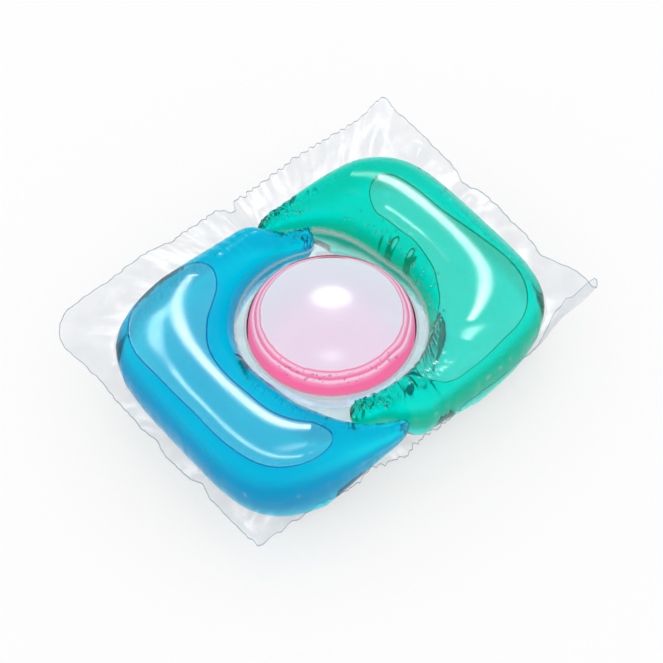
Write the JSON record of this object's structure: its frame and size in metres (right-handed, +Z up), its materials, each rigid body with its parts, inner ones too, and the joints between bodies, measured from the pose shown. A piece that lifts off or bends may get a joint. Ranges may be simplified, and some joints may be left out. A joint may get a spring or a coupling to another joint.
{
  "type": "laundry liquid capsule",
  "caption": "Single-dose laundry capsule of clear film: two comma-shaped pockets of coloured gel curl round a round one.",
  "frame": {"origin": "under the middle of the round pocket, on the surface that the pack rests on", "axes": "+X along the pack's length towards the green pocket, +Y across it towards the wider flange, +Z up towards the lid"},
  "size_m": [0.057, 0.0446, 0.0141],
  "materials": {
    "formed_film": "clear glossy water-soluble film, deep drawn into pockets",
    "lid_film": "clear glossy water-soluble film, wrinkled on the flange",
    "blue_gel": "clear cyan blue liquid gel",
    "green_gel": "clear emerald green liquid gel",
    "pink_gel": "clear pale pink liquid gel"
  },
  "bodies": {
    "root": {"formed_film": "formed_film", "lid_film": "lid_film", "blue_gel": "blue_gel", "green_gel": "green_gel", "pink_gel": "pink_gel"}
  },
  "joints": []
}
